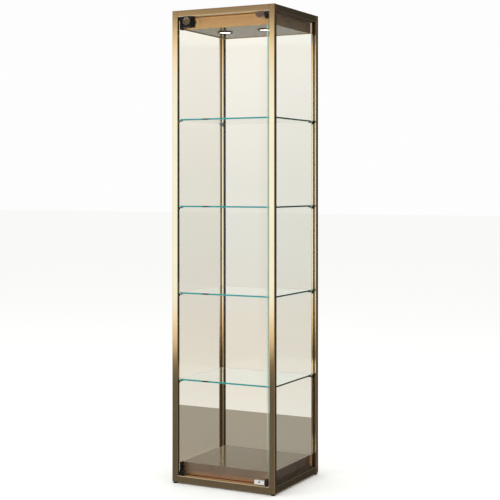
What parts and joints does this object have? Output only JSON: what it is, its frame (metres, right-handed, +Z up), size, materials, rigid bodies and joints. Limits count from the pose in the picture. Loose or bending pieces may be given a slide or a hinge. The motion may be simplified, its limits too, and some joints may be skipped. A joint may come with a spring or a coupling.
{
  "type": "glass display showcase",
  "caption": "Free-standing tower showcase: square bronze metal frame, glass sides and inset glass door, clear shelves, lit canopy housing and base housing.",
  "frame": {"origin": "centre of the case's footprint, on the floor under the feet", "axes": "+X to the right seen from the front, +Y towards the back pane, +Z up; the door is on the -Y side"},
  "size_m": [0.45, 0.4173, 1.86],
  "materials": {
    "bronze_profile": "satin anodised, champagne bronze",
    "bronze_sheet": "satin anodised sheet, bronze",
    "dark_sheet": "satin",
    "taupe_board": "satin laminate on board",
    "clear_glass": "polished",
    "shelf_glass": "polished, green edges",
    "black_rubber": "matte",
    "black_plastic": "fine texture",
    "clear_pad": "translucent",
    "chrome": "mirror polish",
    "dark_nickel": "polished dark nickel",
    "lamp_lens": "frosted, lit",
    "cast_aluminium": "cast, matte",
    "white_plastic": "matte",
    "steel": "zinc plated"
  },
  "bodies": {
    "case": {"post_front_left": "bronze_profile", "post_front_right": "bronze_profile", "post_rear_left": "bronze_profile", "post_rear_right": "bronze_profile", "bottom_rail_front": "bronze_profile", "bottom_rail_rear": "bronze_profile", "bottom_rail_left": "bronze_profile", "bottom_rail_right": "bronze_profile", "top_rail_front": "bronze_profile", "top_rail_rear": "bronze_profile", "top_rail_left": "bronze_profile", "top_rail_right": "bronze_profile", "post_caps": "bronze_profile", "rail_anchors": "steel", "anchor_screws": "steel", "roof_panel": "dark_sheet", "glass_left": "clear_glass", "glass_right": "clear_glass", "glass_back": "clear_glass", "glazing_gaskets": "black_rubber", "base_tray": "bronze_sheet", "floor_panel": "taupe_board", "floor_battens": "taupe_board", "canopy_shell": "bronze_sheet", "ceiling_panel": "taupe_board", "housing_screws": "steel", "spot_bezels": "dark_sheet", "spot_lenses": "lamp_lens", "spot_heatsinks": "cast_aluminium", "led_driver": "white_plastic", "corner_trims": "black_plastic", "wiring": "black_plastic", "cable_grommet": "black_rubber", "shelf_1": "shelf_glass", "shelf_2": "shelf_glass", "shelf_3": "shelf_glass", "shelf_4": "shelf_glass", "shelf_supports": "black_plastic", "support_pads": "clear_pad", "support_screws": "steel", "pivot_plates": "steel", "pivot_pins": "steel", "pivot_screws": "steel", "door_bumpers": "black_plastic", "foot_sockets": "black_plastic"},
    "door": {"door_glass": "clear_glass", "hinge_clip_top": "dark_nickel", "hinge_clip_bottom": "chrome", "hinge_pads": "clear_pad", "hinge_screws": "steel", "hinge_knuckles": "black_plastic", "lock_case": "black_plastic", "lock_rosette": "chrome"},
    "lock_core": {"lock_plug": "chrome", "lock_cam": "steel", "cam_screw": "steel"},
    "foot_front_left_body": {"foot_front_left": "black_plastic"},
    "foot_front_right_body": {"foot_front_right": "black_plastic"},
    "foot_rear_left_body": {"foot_rear_left": "black_plastic"},
    "foot_rear_right_body": {"foot_rear_right": "black_plastic"}
  },
  "joints": [
    {"name": "door_hinge", "type": "hinge", "parent": "case", "child": "door", "pos_m": [0.191, -0.1965, 0.93], "axis": [0, 0, 1], "range_deg": [0, 110]},
    {"name": "lock_turn", "type": "hinge", "parent": "door", "child": "lock_core", "pos_m": [-0.151, -0.19, 1.816], "axis": [0, 1, 0], "range_deg": [0, 90]},
    {"name": "foot_front_left_level", "type": "slide", "parent": "case", "child": "foot_front_left_body", "axis": [0, 0, -1], "range_m": [0, 0.006]},
    {"name": "foot_front_right_level", "type": "slide", "parent": "case", "child": "foot_front_right_body", "axis": [0, 0, -1], "range_m": [0, 0.006]},
    {"name": "foot_rear_left_level", "type": "slide", "parent": "case", "child": "foot_rear_left_body", "axis": [0, 0, -1], "range_m": [0, 0.006]},
    {"name": "foot_rear_right_level", "type": "slide", "parent": "case", "child": "foot_rear_right_body", "axis": [0, 0, -1], "range_m": [0, 0.006]}
  ]
}
